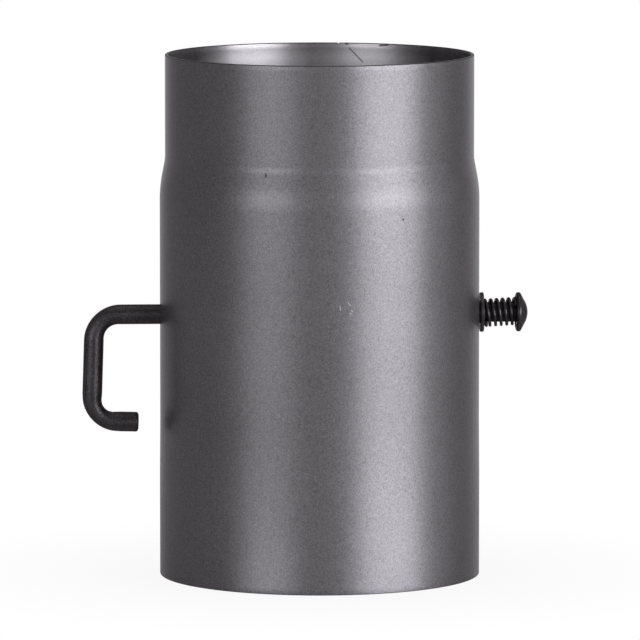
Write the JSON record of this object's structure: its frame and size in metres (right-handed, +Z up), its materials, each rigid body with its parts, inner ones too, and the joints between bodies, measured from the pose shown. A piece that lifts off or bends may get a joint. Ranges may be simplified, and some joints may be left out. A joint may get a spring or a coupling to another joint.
{
  "type": "stove pipe damper",
  "caption": "Short round flue pipe section with a drawn-in spigot and a manual damper plate on a bent bar handle, held by a spring.",
  "frame": {"origin": "centre of the lower rim, at the plain end", "axes": "+Z up along the pipe towards the spigot, +X along the handle bar towards the spring and cap"},
  "size_m": [0.2139, 0.1534, 0.25],
  "materials": {
    "pipe_paint": "satin",
    "bar_coat": "matte",
    "plate_steel": "matte",
    "black_steel": "satin",
    "zinc": "satin"
  },
  "bodies": {
    "pipe": {"flue_pipe": "pipe_paint", "spring_washer": "black_steel"},
    "damper": {"handle_shaft": "bar_coat", "damper_plate": "plate_steel", "plate_screw_left": "zinc", "plate_screw_right": "zinc", "plate_washer_left": "zinc", "plate_washer_right": "zinc", "plate_nut_left": "zinc", "plate_nut_right": "zinc", "friction_spring": "black_steel", "end_cap": "black_steel", "cap_lock_ring": "zinc", "inner_washer": "zinc", "split_pin": "zinc"}
  },
  "joints": [
    {"name": "damper_turn", "type": "hinge", "parent": "pipe", "child": "damper", "pos_m": [0, 0, 0.1255], "axis": [1, 0, 0], "continuous": true}
  ]
}
